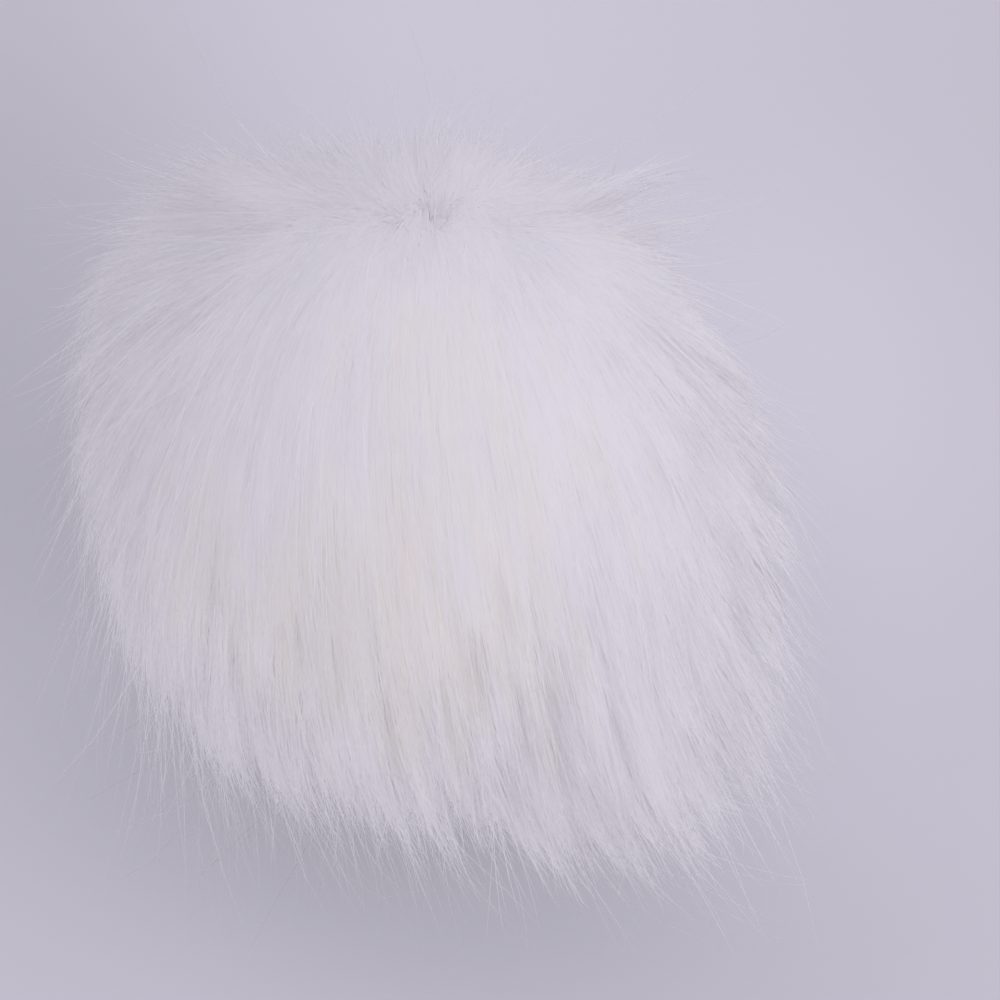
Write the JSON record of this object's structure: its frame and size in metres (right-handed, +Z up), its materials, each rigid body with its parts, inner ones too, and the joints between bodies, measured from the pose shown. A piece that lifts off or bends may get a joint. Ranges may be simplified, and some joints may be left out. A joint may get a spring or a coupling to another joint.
{
  "type": "pom pom",
  "caption": "Round fluffy pom pom of long white faux fur, combed from a crown over the ball, resting on a small flat spot.",
  "frame": {"origin": "middle of the bounding box's bottom, on the surface that the pom pom rests on", "axes": "+Z up; the pile's crown leans back towards +Y, its long sweep runs to the front right, +X and -Y"},
  "size_m": [0.1444, 0.1418, 0.1145],
  "materials": {
    "white_fur": "soft long pile with a slight sheen"
  },
  "bodies": {
    "root": {"fur_ball": "white_fur"}
  },
  "joints": []
}
